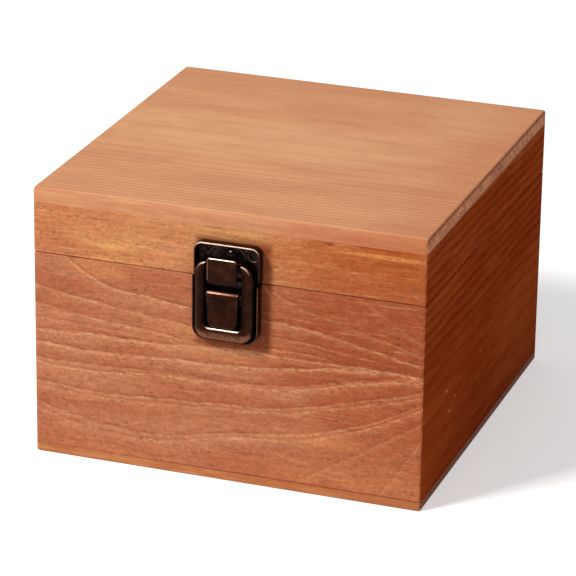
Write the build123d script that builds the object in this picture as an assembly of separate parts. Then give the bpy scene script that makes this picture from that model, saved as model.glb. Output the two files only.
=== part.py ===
from build123d import *
import math
import os

# A square wooden storage box with a hinged lid and a pressed-metal toggle latch, in millimetres.
# X runs from left to right, Y from the front to the back, Z up. The origin is the middle of the underside.

# The wooden case and lid
box_width = 172.0
box_depth = 177.0
case_height = 91.0        # from the underside to the top edge of the case boards
lid_gap = 0.3             # the fine dark line left between case and lid
lid_rail_height = 22.2    # the lid's side rails, under its top panel
top_thickness = 6.5
bottom_thickness = 4.0
board_thickness = 8.0
edge_round = 1.2          # outer arrises, broken by sanding
top_front_round = 2.6     # the lid's upper front arris is sanded rounder
bottom_edge_round = 0.7
seam_edge_round = 0.4
mitre_reach = 5.0         # how far the mitre cuts run past the boards, inside and outside

# The wood screws and their holes
screw_head_radius = 2.3
screw_head_depth = 1.4
screw_shank_radius = 1.1
screw_hole_gap = 0.05
latch_screw_length = 7.0
hinge_screw_length = 6.4

# The two butt hinges on the back
hinge_width = 30.0
hinge_leaf_height = 14.5
hinge_leaf_thickness = 0.8
hinge_inset = 34.0        # from the box's side to the middle of a hinge
hinge_corner_round = 1.6
hinge_axis_out = 2.0      # from the back face to the pin's axis
knuckle_radius = 1.75
knuckle_gap = 0.25        # between knuckles, and round a knuckle where the other leaf is cut away
middle_knuckle_width = 10.0
hinge_pin_radius = 0.9
hinge_screw_spacing = 19.0
hinge_screw_drop = 8.6    # from the pin's axis to the screws

# Fits shared by both mechanisms
running_gap = 0.05        # a pin in the piece that turns on it
fixed_gap = 0.01          # a pin in the piece that holds it

# The latch: pressed plates. All its heights are measured up from the case's top edge.
latch_x = 0.9             # the latch sits a little right of the middle
sheet = 0.7               # all the latch's sheet metal
pan_width = 29.6
pan_depth = 4.8           # how far the plates' turned-up edges stand out from the wood
pan_bend_chamfer = 0.5
rim_chamfer = 0.2
base_low = -26.9
base_high = -1.0
base_corner_round = 5.8
strike_low = 1.2
strike_high = 16.8
strike_corner_round = 3.6
strike_pan_side = 0.6     # the strike's pan isn't pressed quite in line with its hook
base_screw_spread = 9.0
base_screw_height = -15.0
strike_screw_spread = 22.4
strike_screw_height = 12.2
tack_side = 0.9           # the round-head tack is a little right of the latch's middle
tack_height = 12.9
tack_head_radius = 1.25
tack_head_height = 0.5
tack_shank_radius = 0.55
tack_length = 5.0
spare_hole_radius = 0.5
spare_hole_side = -1.4

# The latch: hook on the strike plate
bill_width = 13.2
bill_low = -0.5
bill_high = 11.6
bill_out = 8.2            # the hook's face, from the wood
bill_depth = 1.3
bill_corner_round = 1.5
bill_edge_round = 0.9
web_top = 7.3             # the seat that the ring's bar pulls down on
web_width = 11.2

# The latch: lever and its two pins
lever_width = 13.8
lever_end_width = 13.0
lever_low = -19.4
lever_corner_round = 2.6
lever_edge_round = 0.7
lever_back = 3.7          # inner edge of the lever's side flanges, from the wood
latch_pin_radius = 0.7
lever_axis_height = -5.3
lever_axis_out = 4.6
crank_radius = 3.1        # from the lever's pin to the ring's pin
crank_angle = 12.0        # degrees that the ring's pin lies behind the lever's: over centre when shut
ear_gap = 0.25            # between the lever's side and the base plate's ear
ear_tip_radius = 1.6
lobe_radius = 1.5

# The latch: ring
ring_ear_gap = 0.3        # between an ear and the ring's inner side
ring_pan_gap = 0.9        # between the ring's outer side and the base plate's turned-up edges
ring_low = -25.8
ring_high = 9.8
ring_back = 1.6
ring_front = 6.4
ring_corner_round = 5.6
ring_window_low = -19.9
ring_seat_slack = 0.3     # between the hook's seat and the ring's bar
ring_window_round = 2.4
ring_face_round = 1.1
ring_inner_chamfer = 0.45
ring_bar_front = 3.6      # the top bar is pressed back so that it passes behind the hook
ring_saddle_gap = 0.8     # on each side of the hook
ring_pin_reach = 1.2      # how far the ring's pin goes past the ring's inner wall

# Places that follow from the sizes above
lid_low = case_height + lid_gap
panel_low = lid_low + lid_rail_height
front_face = -box_depth / 2
back_face = box_depth / 2
hinge_axis_y = back_face + hinge_axis_out
hinge_axis_z = case_height + lid_gap / 2
knuckle_bore = hinge_pin_radius + running_gap
pan_inner_half = pan_width / 2 - sheet
lever_half = lever_width / 2
ear_inner = lever_half + ear_gap
ear_outer = ear_inner + sheet
ring_half = pan_inner_half - ring_pan_gap
window_half = ear_outer + ring_ear_gap
window_high = web_top + ring_seat_slack
barrel_radius = latch_pin_radius + running_gap + sheet
lever_front = lever_axis_out + barrel_radius
ring_axis_height = lever_axis_height - crank_radius * math.cos(math.radians(crank_angle))
ring_axis_out = lever_axis_out - crank_radius * math.sin(math.radians(crank_angle))

# Latch pieces are drawn facing the front: x right, y up from the case's top edge, z out of the wood.
latch_plane = Plane(origin=(latch_x, front_face, case_height), x_dir=(1, 0, 0), z_dir=(0, -1, 0))


def block(x_low, x_high, y_low, y_high, z_low, z_high):
    """A plain box between two corners."""
    middle = ((x_low + x_high) / 2, (y_low + y_high) / 2, (z_low + z_high) / 2)
    return Pos(*middle) * Box(x_high - x_low, y_high - y_low, z_high - z_low)


def rod_along_x(x_low, x_high, y, z, radius):
    """A round bar whose axis runs along X."""
    return Pos((x_low + x_high) / 2, y, z) * Rot(0, 90, 0) * Cylinder(radius, x_high - x_low)


def outline(points):
    """A flat face inside a closed line through the points."""
    return make_face(Polyline(*points, close=True))


def screw(length, gap=0.0):
    """A countersunk wood screw with its head's top at z = 0, or with a gap the hole that it sits in."""
    head = screw_head_radius + gap
    shank = screw_shank_radius + gap
    depth = length + gap
    profile = outline([
        (0, 0),
        (head, 0),
        (shank, -screw_head_depth),
        (shank, -depth),
        (0, -depth),
    ])
    return revolve(Plane.XZ * profile, Axis.Z)


def walls(low, high, seam_side):
    """The four mitred boards of the case or lid as one ring, its arrises rounded."""
    ring = block(-box_width / 2, box_width / 2, front_face, back_face, low, high)
    ring = fillet(ring.edges().filter_by(Axis.Z), edge_round)
    inner_x = box_width / 2 - board_thickness
    inner_y = box_depth / 2 - board_thickness
    ring -= block(-inner_x, inner_x, -inner_y, inner_y, low, high)
    seam_edges = ring.edges().group_by(Axis.Z)[seam_side]
    return chamfer(seam_edges, seam_edge_round)


def mitre_wedges(low, high):
    """The four upright wedges, split at 45 degrees through the corners, that part the boards."""
    out_x = box_width / 2 + mitre_reach
    out_y = box_depth / 2 + mitre_reach
    in_x = box_width / 2 - board_thickness - mitre_reach
    in_y = box_depth / 2 - board_thickness - mitre_reach
    wedges = {}
    for name, side in (("front", -1), ("back", 1)):
        wedges[name] = [(-out_x, side * out_y), (out_x, side * out_y),
                        (in_x, side * in_y), (-in_x, side * in_y)]
    for name, side in (("left", -1), ("right", 1)):
        wedges[name] = [(side * out_x, -out_y), (side * out_x, out_y),
                        (side * in_x, in_y), (side * in_x, -in_y)]
    return {name: Pos(0, 0, low) * extrude(outline(points), high - low, dir=(0, 0, 1))
            for name, points in wedges.items()}


def panel(low, thickness):
    """A flat panel as wide and deep as the box."""
    return block(-box_width / 2, box_width / 2, front_face, back_face, low, low + thickness)


def make_top_panel():
    """The lid's top: a rounder arris along the front, all the other upper and upright ones rounded alike."""
    solid = panel(panel_low, top_thickness)
    front_top = solid.edges().filter_by(Axis.X).group_by(Axis.Z)[-1].sort_by(Axis.Y)[0]
    solid = fillet(front_top, top_front_round)
    underside = solid.edges().group_by(Axis.Z)[0]
    smooth_joins = [edge for edge in solid.edges().filter_by(Axis.X)
                    if edge.center().Y < 0 and edge not in underside]
    arrises = [edge for edge in solid.edges() if edge not in underside and edge not in smooth_joins]
    return fillet(arrises, edge_round)


def make_bottom_panel():
    """The bottom, glued under the boards, with its lower arris lightly broken."""
    solid = panel(0, bottom_thickness)
    solid = fillet(solid.edges().filter_by(Axis.Z), edge_round)
    return chamfer(solid.edges().group_by(Axis.Z)[0], bottom_edge_round)


def pan(low, high, corner_round, open_side):
    """A pressed plate: a floor on the wood and three edges turned outwards, open along one side."""
    half = pan_width / 2
    face = Pos(0, (low + high) / 2) * Rectangle(pan_width, high - low)
    closed_row = 0 if open_side > 0 else -1
    face = fillet(face.vertices().group_by(Axis.Y)[closed_row], corner_round)
    solid = extrude(face, pan_depth, dir=(0, 0, 1))

    hollow_low = low + sheet if open_side > 0 else low - pan_depth
    hollow_high = high + pan_depth if open_side > 0 else high - sheet
    hollow = Pos(0, (hollow_low + hollow_high) / 2) * Rectangle(2 * (half - sheet), hollow_high - hollow_low)
    hollow = fillet(hollow.vertices().group_by(Axis.Y)[closed_row], corner_round - sheet)
    solid -= Pos(0, 0, sheet) * extrude(hollow, pan_depth, dir=(0, 0, 1))

    solid = chamfer(solid.edges().group_by(Axis.Z)[-1], rim_chamfer)
    open_end = high if open_side > 0 else low
    bend = [edge for edge in solid.edges().group_by(Axis.Z)[0] if abs(edge.center().Y - open_end) > sheet]
    return chamfer(bend, pan_bend_chamfer)


def make_base_plate():
    """The case's latch plate: a pan with two ears bent up to carry the lever's pin."""
    solid = pan(base_low, base_high, base_corner_round, 1)
    for side in (-1, 1):
        ear_low, ear_high = sorted((side * ear_inner, side * ear_outer))
        ear = block(ear_low, ear_high, lever_axis_height - ear_tip_radius, lever_axis_height + ear_tip_radius,
                    0, lever_axis_out)
        ear += rod_along_x(ear_low, ear_high, lever_axis_height, lever_axis_out, ear_tip_radius)
        window_low, window_high_x = sorted((side * ear_inner, side * (ear_inner - lever_axis_out)))
        solid -= block(window_low, window_high_x, lever_axis_height - ear_tip_radius,
                       lever_axis_height + ear_tip_radius, 0, sheet)
        solid += ear
    solid -= rod_along_x(-pan_width, pan_width, lever_axis_height, lever_axis_out,
                         latch_pin_radius + fixed_gap)
    for side in (-1, 1):
        solid -= Pos(side * base_screw_spread / 2, base_screw_height, sheet) * screw(
            latch_screw_length, screw_hole_gap)
    return solid


def make_strike_plate():
    """The lid's latch plate: a pan with a hook that the ring's bar pulls down on."""
    solid = Pos(strike_pan_side, 0, 0) * pan(strike_low, strike_high, strike_corner_round, -1)
    web_low = web_top - sheet
    solid -= block(-web_width / 2, web_width / 2, strike_low, web_low, 0, sheet)
    bill_face = Pos(0, (bill_low + bill_high) / 2) * RectangleRounded(
        bill_width, bill_high - bill_low, bill_corner_round)
    bill = Pos(0, 0, bill_out - bill_depth) * extrude(bill_face, bill_depth, dir=(0, 0, 1))
    bill = fillet(bill.edges().group_by(Axis.Z)[-1], bill_edge_round)
    hollow_face = Pos(0, (bill_low + bill_high) / 2) * RectangleRounded(
        bill_width - 2 * sheet, bill_high - bill_low - 2 * sheet, bill_corner_round - sheet)
    bill -= Pos(0, 0, bill_out - bill_depth) * extrude(hollow_face, bill_depth - sheet, dir=(0, 0, 1))
    solid += bill
    solid += block(-web_width / 2, web_width / 2, web_low, web_top, 0, bill_out - sheet)
    for side in (-1, 1):
        solid -= Pos(side * strike_screw_spread / 2, strike_screw_height, sheet) * screw(
            latch_screw_length, screw_hole_gap)
    solid -= Pos(tack_side, tack_height, 0) * Cylinder(tack_shank_radius + screw_hole_gap, 4 * sheet)
    solid -= Pos(spare_hole_side, tack_height, 0) * Cylinder(spare_hole_radius, 4 * sheet)
    return solid


def make_tack():
    """The round-head tack that holds the strike plate's middle."""
    sphere_radius = (tack_head_radius ** 2 + tack_head_height ** 2) / (2 * tack_head_height)
    dome = Pos(0, 0, tack_head_height - sphere_radius) * Sphere(sphere_radius)
    dome &= block(-sphere_radius, sphere_radius, -sphere_radius, sphere_radius, 0, sphere_radius)
    shank = Pos(0, 0, -tack_length / 2) * Cylinder(tack_shank_radius, tack_length)
    return Pos(tack_side, tack_height, sheet) * (dome + shank)


def make_lever():
    """The lever: a pressed tongue with side flanges, rolled round its pin at the top."""
    hollow_top = lever_axis_height + barrel_radius
    lobe_low = ring_axis_height - lobe_radius

    def tongue(inset, low, high):
        half_top = lever_half - inset
        half_end = lever_end_width / 2 - inset
        points = [(-half_top, high), (-half_top, lobe_low), (-half_end, low),
                  (half_end, low), (half_top, lobe_low), (half_top, high)]
        face = outline(points)
        return fillet(face.vertices().group_by(Axis.Y)[0], lever_corner_round - inset)

    solid = Pos(0, 0, lever_back) * extrude(
        tongue(0, lever_low, lever_axis_height), lever_front - lever_back, dir=(0, 0, 1))
    front_edges = solid.edges().group_by(Axis.Z)[-1]
    front_edges = [edge for edge in front_edges
                   if abs(edge.center().Y - lever_axis_height) > lever_edge_round]
    solid = fillet(front_edges, lever_edge_round)
    solid -= Pos(0, 0, lever_back) * extrude(
        tongue(sheet, lever_low + sheet, hollow_top), lever_front - sheet - lever_back, dir=(0, 0, 1))
    solid += rod_along_x(-lever_half, lever_half, lever_axis_height, lever_axis_out, barrel_radius)
    for side in (-1, 1):
        lobe_in, lobe_out = sorted((side * (lever_half - sheet), side * lever_half))
        solid += rod_along_x(lobe_in, lobe_out, ring_axis_height, ring_axis_out, lobe_radius)
    solid -= rod_along_x(-lever_width, lever_width, lever_axis_height, lever_axis_out,
                         latch_pin_radius + running_gap)
    solid -= rod_along_x(-lever_width, lever_width, ring_axis_height, ring_axis_out,
                         latch_pin_radius + fixed_gap)
    return solid


def make_ring():
    """The ring: a pressed channel frame, its top bar set back to pass behind the hook."""
    outer_face = Pos(0, (ring_low + ring_high) / 2) * RectangleRounded(
        2 * ring_half, ring_high - ring_low, ring_corner_round)
    window_face = Pos(0, (ring_window_low + window_high) / 2) * RectangleRounded(
        2 * window_half, window_high - ring_window_low, ring_window_round)
    solid = Pos(0, 0, ring_back) * extrude(outer_face - window_face, ring_front - ring_back, dir=(0, 0, 1))

    def in_window(edge, margin):
        middle = edge.center()
        return (abs(middle.X) < window_half + margin
                and ring_window_low - margin < middle.Y < window_high + margin)

    face_edges = solid.edges().group_by(Axis.Z)[-1]
    outer_edges = [edge for edge in face_edges if not in_window(edge, ring_inner_chamfer)]
    solid = fillet(outer_edges, ring_face_round)
    inner_edges = [edge for edge in solid.edges().group_by(Axis.Z)[-1] if in_window(edge, ring_inner_chamfer)]
    solid = chamfer(inner_edges, ring_inner_chamfer)

    groove_outer = Pos(0, (ring_low + ring_high) / 2) * RectangleRounded(
        2 * (ring_half - sheet), ring_high - ring_low - 2 * sheet, ring_corner_round - sheet)
    groove_inner = Pos(0, (ring_window_low + window_high) / 2) * RectangleRounded(
        2 * (window_half + sheet), window_high - ring_window_low + 2 * sheet, ring_window_round + sheet)
    groove = Pos(0, 0, ring_back) * extrude(
        groove_outer - groove_inner, ring_front - sheet - ring_back, dir=(0, 0, 1))
    groove &= block(-pan_width, pan_width, ring_low, window_high - ring_corner_round, 0, ring_front)
    solid -= groove

    saddle_half = bill_width / 2 + ring_saddle_gap
    solid -= block(-saddle_half, saddle_half, window_high - ring_corner_round, ring_high + sheet,
                   ring_bar_front, ring_front + sheet)
    reach = window_half + sheet + ring_pin_reach
    solid -= rod_along_x(-reach, reach, ring_axis_height, ring_axis_out, latch_pin_radius + running_gap)
    return solid


def hinge_leaf(x_middle, up):
    """One leaf against the back face. The lid's leaf holds the middle knuckle, the case's the outer two."""
    side = 1 if up else -1
    low, high = x_middle - hinge_width / 2, x_middle + hinge_width / 2
    middle_low = x_middle - middle_knuckle_width / 2
    middle_high = x_middle + middle_knuckle_width / 2
    root = hinge_axis_z + side * (knuckle_radius + knuckle_gap)
    far = hinge_axis_z + side * hinge_leaf_height
    z_low, z_high = sorted((root, far))
    leaf = block(low, high, back_face, back_face + hinge_leaf_thickness, z_low, z_high)
    far_edges = leaf.edges().filter_by(Axis.Y).group_by(Axis.Z)[-1 if up else 0]
    leaf = fillet(far_edges, hinge_corner_round)
    if up:
        spans = [(middle_low + knuckle_gap, middle_high - knuckle_gap)]
    else:
        spans = [(low, middle_low), (middle_high, high)]
    tab_low, tab_high = sorted((hinge_axis_z, root))
    for span_low, span_high in spans:
        leaf += block(span_low, span_high, back_face, back_face + hinge_leaf_thickness, tab_low, tab_high)
        leaf += rod_along_x(span_low, span_high, hinge_axis_y, hinge_axis_z, knuckle_radius)
    bore = knuckle_bore if up else hinge_pin_radius + fixed_gap
    leaf -= rod_along_x(low - knuckle_gap, high + knuckle_gap, hinge_axis_y, hinge_axis_z, bore)
    return leaf - hinge_screws(x_middle, up, screw_hole_gap)


def hinge_screws(x_middle, up, gap=0.0):
    """The two screws of one leaf, heads flush with the leaf."""
    z = hinge_axis_z + (hinge_screw_drop if up else -hinge_screw_drop)
    screws = []
    for side in (-1, 1):
        place = Plane(origin=(x_middle + side * hinge_screw_spacing / 2, back_face + hinge_leaf_thickness, z),
                      x_dir=(1, 0, 0), z_dir=(0, 1, 0))
        screws.append(place * screw(hinge_screw_length, gap))
    return Compound(screws)


def latch_screws(spread, z, gap=0.0):
    """A pair of screws through a latch plate, heads flush with its floor."""
    return Compound([latch_plane * Pos(side * spread / 2, z, sheet) * screw(latch_screw_length, gap)
                     for side in (-1, 1)])


def make_hinge_pin(x_middle):
    """The pin, as long as the hinge."""
    return rod_along_x(x_middle - hinge_width / 2, x_middle + hinge_width / 2,
                       hinge_axis_y, hinge_axis_z, hinge_pin_radius)


nodes = {}

# Boards
hinge_places = {"left": -box_width / 2 + hinge_inset, "right": box_width / 2 - hinge_inset}
case_ring = walls(bottom_thickness, case_height, -1)
case_ring -= latch_screws(base_screw_spread, base_screw_height, screw_hole_gap)
lid_ring = walls(lid_low, panel_low, 0)
lid_ring -= latch_screws(strike_screw_spread, strike_screw_height, screw_hole_gap)
lid_ring -= latch_plane * Pos(tack_side, tack_height, sheet) * Cylinder(
    tack_shank_radius + screw_hole_gap, 2 * (tack_length + screw_hole_gap))
for place in hinge_places.values():
    case_ring -= hinge_screws(place, False, screw_hole_gap)
    lid_ring -= hinge_screws(place, True, screw_hole_gap)
for name, wedge in mitre_wedges(0, panel_low).items():
    nodes[f"{name}_board"] = case_ring & wedge
    nodes[f"lid_{name}_rail"] = lid_ring & wedge
nodes["bottom_panel"] = make_bottom_panel()
nodes["top_panel"] = make_top_panel()

# Hinges
for name, place in hinge_places.items():
    nodes[f"{name}_hinge_case_leaf"] = hinge_leaf(place, False)
    nodes[f"{name}_hinge_lid_leaf"] = hinge_leaf(place, True)
    nodes[f"{name}_hinge_pin"] = make_hinge_pin(place)
    nodes[f"{name}_hinge_case_screws"] = hinge_screws(place, False)
    nodes[f"{name}_hinge_lid_screws"] = hinge_screws(place, True)

# Latch
nodes["latch_base_plate"] = latch_plane * make_base_plate()
nodes["latch_base_screws"] = latch_screws(base_screw_spread, base_screw_height)
nodes["latch_lever_pin"] = latch_plane * rod_along_x(
    -ear_outer, ear_outer, lever_axis_height, lever_axis_out, latch_pin_radius)
nodes["latch_lever"] = latch_plane * make_lever()
ring_pin_half = window_half + sheet + ring_pin_reach / 2
nodes["latch_ring_pin"] = latch_plane * rod_along_x(
    -ring_pin_half, ring_pin_half, ring_axis_height, ring_axis_out, latch_pin_radius)
nodes["latch_ring"] = latch_plane * make_ring()
nodes["strike_plate"] = latch_plane * make_strike_plate()
nodes["strike_screws"] = latch_screws(strike_screw_spread, strike_screw_height)
nodes["strike_tack"] = latch_plane * make_tack()

os.makedirs("parts", exist_ok=True)
for name, shape in nodes.items():
    export_step(shape, f"parts/{name}.step")
print(f"{len(nodes)} nodes")
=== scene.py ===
import math

import bmesh
import bpy
import numpy as np
from mathutils import Matrix, Vector


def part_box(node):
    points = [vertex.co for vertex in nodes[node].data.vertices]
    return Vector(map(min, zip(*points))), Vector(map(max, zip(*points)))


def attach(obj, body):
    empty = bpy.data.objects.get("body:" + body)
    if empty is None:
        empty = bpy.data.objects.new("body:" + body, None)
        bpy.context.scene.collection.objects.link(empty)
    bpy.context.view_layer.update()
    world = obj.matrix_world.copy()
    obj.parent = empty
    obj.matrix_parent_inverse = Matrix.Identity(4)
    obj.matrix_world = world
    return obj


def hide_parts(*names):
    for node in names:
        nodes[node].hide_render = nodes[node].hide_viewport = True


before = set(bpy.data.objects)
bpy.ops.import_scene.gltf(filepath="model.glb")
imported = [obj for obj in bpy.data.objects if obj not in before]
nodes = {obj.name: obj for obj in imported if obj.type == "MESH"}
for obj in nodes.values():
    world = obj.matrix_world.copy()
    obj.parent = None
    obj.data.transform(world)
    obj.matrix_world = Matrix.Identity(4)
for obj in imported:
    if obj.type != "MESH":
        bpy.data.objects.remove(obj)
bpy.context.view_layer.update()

millimetre = 0.001
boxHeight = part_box("top_panel")[1].z
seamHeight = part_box("front_board")[1].z
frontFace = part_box("bottom_panel")[0].y
latchMiddle = sum(corner.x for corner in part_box("latch_base_plate")) / 2
print("frame loaded:", len(nodes), "nodes")


# a value in a shader that can be written in formulas: each sum or product adds one Math node
class Wire:
    def __init__(self, tree, socket):
        self.tree = tree
        self.socket = socket

    def math(self, operation, *others, first=None):
        values = [self if first is None else first, *others]
        return Wire(self.tree, addNode(self.tree, "Math", *values, operation=operation).outputs[0])

    __add__ = __radd__ = lambda self, other: self.math("ADD", other)
    __sub__ = lambda self, other: self.math("SUBTRACT", other)
    __rsub__ = lambda self, other: self.math("SUBTRACT", self, first=other)
    __mul__ = __rmul__ = lambda self, other: self.math("MULTIPLY", other)
    __truediv__ = lambda self, other: self.math("DIVIDE", other)
    __pow__ = lambda self, other: self.math("POWER", other)
    size = lambda self: self.math("ABSOLUTE")
    part = lambda self: self.math("FRACT")
    least = lambda self, other: self.math("MINIMUM", other)
    most = lambda self, other: self.math("MAXIMUM", other)

    def ramp(self, low, high, start=0.0, end=1.0, smooth=True):  # start below low, end above high
        shape = "SMOOTHSTEP" if smooth else "LINEAR"
        node = addNode(self.tree, "MapRange", self, low, high, start, end, interpolation_type=shape)
        return Wire(self.tree, node.outputs["Result"])

    def mix(self, first, second):  # a colour: first where this is 0, second where it is 1
        node = addNode(self.tree, "Mix", self, data_type="RGBA", clamp_factor=True)
        plug(self.tree, first, node.inputs[6])
        plug(self.tree, second, node.inputs[7])
        return node.outputs[2]


def plug(tree, value, place):
    if isinstance(value, Wire):
        tree.links.new(value.socket, place)
    elif isinstance(value, bpy.types.NodeSocket):
        tree.links.new(value, place)
    else:
        place.default_value = value


def addNode(tree, kind, *values, **settings):  # the values go to its inputs in turn
    node = tree.nodes.new("ShaderNode" + kind)
    for name, value in settings.items():
        setattr(node, name, value)
    for place, value in zip(node.inputs, values):
        plug(tree, value, place)
    return node


def addObject(name, data):
    made = bpy.data.objects.new(name, data)
    bpy.context.scene.collection.objects.link(made)
    return made


def newMaterial(name):
    material = bpy.data.materials.new(name)
    material.use_nodes = True
    tree = material.node_tree
    tree.nodes.clear()
    shader = addNode(tree, "BsdfPrincipled")
    addNode(tree, "OutputMaterial", shader.outputs[0])
    return material, tree, shader


def rgb(red, green, blue):  # a colour given as 0 to 255, made linear
    return tuple(((c / 255 + 0.055) / 1.055) ** 2.4 for c in (red, green, blue)) + (1.0,)


def noiseAt(tree, x, y, z, detail=2.0, roughness=0.5):  # about 0.5, its waves one unit of x, y, z long
    node = addNode(tree, "TexNoise", addNode(tree, "CombineXYZ", x, y, z).outputs[0])
    for name, value in (("Scale", 1.0), ("Detail", detail), ("Roughness", roughness)):
        node.inputs[name].default_value = value
    return Wire(tree, node.outputs["Fac"])


def coordinates(tree, kind):  # x, y and z of the object's own place or of the face's normal
    split = addNode(tree, "SeparateXYZ", addNode(tree, "TexCoord").outputs[kind])
    return [Wire(tree, socket) for socket in split.outputs]


def addBump(tree, shader, height, distance, strength):
    bump = addNode(tree, "Bump")
    bump.inputs["Strength"].default_value = strength
    bump.inputs["Distance"].default_value = distance * millimetre
    plug(tree, height, bump.inputs["Height"])
    tree.links.new(bump.outputs[0], shader.inputs["Normal"])


# wood

# how each board is cut: the axis its grain runs along, the one across its face, the one through it, and its seed
cuts = {"top": (0, 1, 2, 3.0), "front": (0, 2, 1, 11.0), "lidFront": (0, 2, 1, 17.0), "back": (0, 2, 1, 41.0),
        "side": (1, 2, 0, 23.0), "left": (1, 2, 0, 31.0)}

# stain on each board, as it looks in plain light, but the right side's is darker and redder partly as painted shade;
# a patch is a soft oval of another colour: its middle along and across the board, half length, half height, colour and
# strength
plainStain = dict(dark=0.5, poreStart=0.55, bump=0.5, gloss=0.08, patches=())
woodLooks = {
    "top": dict(
        plainStain, body=rgb(222, 158, 112), bodyTwo=rgb(211, 144, 101), late=rgb(184, 112, 72),
        light=rgb(236, 182, 136), pore=rgb(168, 96, 60), dark=0.62, pale=0.12, streak=0.22, fibre=0.22, mottle=0.22,
        pores=0.12, bump=0.2, gloss=0.25,
        patches=(
            # the second patch on this line is a pale painted sheen
            (92, -20, 34, 130, (196, 120, 78), 0.5), (-24, 2, 75, 26, (232, 176, 128), 0.5),
            (-30, 72, 60, 24, (206, 138, 96), 0.4), (62, 62, 22, 26, (224, 166, 122), 0.4),
            (10, 42, 40, 8, (204, 132, 92), 0.4), (10, 84, 110, 12, (206, 140, 96), 0.4))),
    "front": dict(
        plainStain, body=rgb(185, 116, 82), bodyTwo=rgb(174, 101, 67), late=rgb(138, 62, 38), light=rgb(222, 166, 120),
        pore=rgb(96, 44, 28), pale=0.62, streak=0.34, fibre=0.8, mottle=0.95, pores=0.5,
        patches=(
            # the first and fourth patches darken and redden the right part: stain, and painted fall-off of the light
            (100, 74, 96, 46, (156, 76, 42), 0.9), (-56, 87, 15, 4, (212, 140, 86), 0.4),
            (-8, 62, 36, 9, (204, 132, 84), 0.4), (80, 36, 50, 30, (168, 88, 52), 0.7),
            (38, 25, 26, 4, (204, 132, 80), 0.45), (64, 8, 60, 12, (184, 110, 66), 0.7),
            (-84, 4, 60, 8, (184, 112, 72), 0.5))),
    "lidFront": dict(
        plainStain, body=rgb(201, 136, 90), bodyTwo=rgb(191, 118, 76), late=rgb(158, 80, 42), light=rgb(226, 170, 114),
        pore=rgb(124, 62, 34), dark=0.25, pale=0.14, streak=0.5, fibre=0.7, mottle=0.85, pores=0.5, poreStart=0.5,
        patches=(
            (0, 117, 140, 3.4, (208, 146, 102), 0.55), (4, 110, 20, 5, (218, 154, 96), 0.5),
            (-52, 97, 16, 6, (210, 144, 86), 0.6), (30, 104, 26, 8, (198, 124, 70), 0.5),
            # the first patch on this line darkens and reddens the right part: stain, and painted fall-off of the light
            (104, 100, 84, 26, (166, 82, 42), 0.9), (60, 112, 34, 4, (172, 86, 34), 0.55),
            (70, 104, 26, 5, (170, 82, 32), 0.5), (-70, 95, 30, 5, (182, 108, 72), 0.5),
            (60, 113.5, 26, 1.2, (152, 68, 26), 0.7), (66, 110, 22, 1.0, (226, 142, 74), 0.6),
            (76, 107, 14, 0.9, (150, 66, 26), 0.6), (45, 113, 2.6, 1.1, (120, 50, 20), 0.7),
            (-53, 98, 9, 1.3, (226, 164, 98), 0.6), (-50, 92, 18, 0.9, (222, 160, 96), 0.5))),
    "side": dict(
        plainStain, body=rgb(162, 70, 28), bodyTwo=rgb(151, 59, 21), late=rgb(104, 30, 10), light=rgb(204, 120, 76),
        inside=rgb(186, 108, 70), pore=rgb(90, 28, 12), pale=0.05, streak=0.3, fibre=0.3, mottle=0.3, pores=0.2,
        bump=0.3, gloss=0.0,
        patches=(
            (62, 32, 62, 30, (176, 82, 38), 0.6), (-50, 70, 60, 12, (142, 52, 20), 0.5),
            (60, 114, 50, 6, (176, 92, 46), 0.6), (-55, 41, 1.8, 0.6, (216, 140, 92), 0.8),
            (-42, 34, 1.4, 0.6, (216, 140, 92), 0.8), (-8, 28, 2.2, 0.5, (206, 124, 78), 0.7),
            (-5, 40, 1.6, 0.5, (206, 124, 78), 0.7), (-50, 30, 2.0, 0.6, (210, 130, 84), 0.8))),
    "back": dict(
        plainStain, body=rgb(188, 116, 80), bodyTwo=rgb(176, 98, 64), late=rgb(142, 68, 40), light=rgb(222, 160, 112),
        pore=rgb(106, 48, 28), pale=0.4, streak=0.35, fibre=0.6, mottle=0.7, pores=0.4, poreStart=0.52),
}
# the left side has the right one's grain and a lighter, less red stain, without the right side's painted shade
woodLooks["left"] = dict(woodLooks["side"], body=rgb(184, 102, 62), bodyTwo=rgb(172, 88, 50), late=rgb(132, 60, 32),
                         light=rgb(216, 150, 102), patches=())

boardCuts = {
    "top_panel": "top", "bottom_panel": "top", "front_board": "front", "lid_front_rail": "lidFront",
    "right_board": "side", "lid_right_rail": "side", "left_board": "left", "lid_left_rail": "left",
    "back_board": "back", "lid_back_rail": "back",
}

# the sawn ends and the long edges of the two panels
panelEdges = {
    "top_panel": dict(
        end=rgb(222, 144, 86), endDark=rgb(134, 66, 30), stain=rgb(146, 58, 26), stainDepth=1.5, foot=0.7, cracks=0.8,
        edge=rgb(205, 143, 100), edgeTwo=rgb(196, 128, 88), edgeRight=rgb(180, 100, 58)),
    "bottom_panel": dict(
        end=rgb(150, 82, 48), endDark=rgb(104, 44, 22), stain=rgb(100, 40, 20), stainDepth=0.5, foot=0.3, cracks=0.5,
        edge=rgb(194, 130, 80), edgeTwo=rgb(176, 102, 58), edgeRight=rgb(172, 102, 58)),
}

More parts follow.
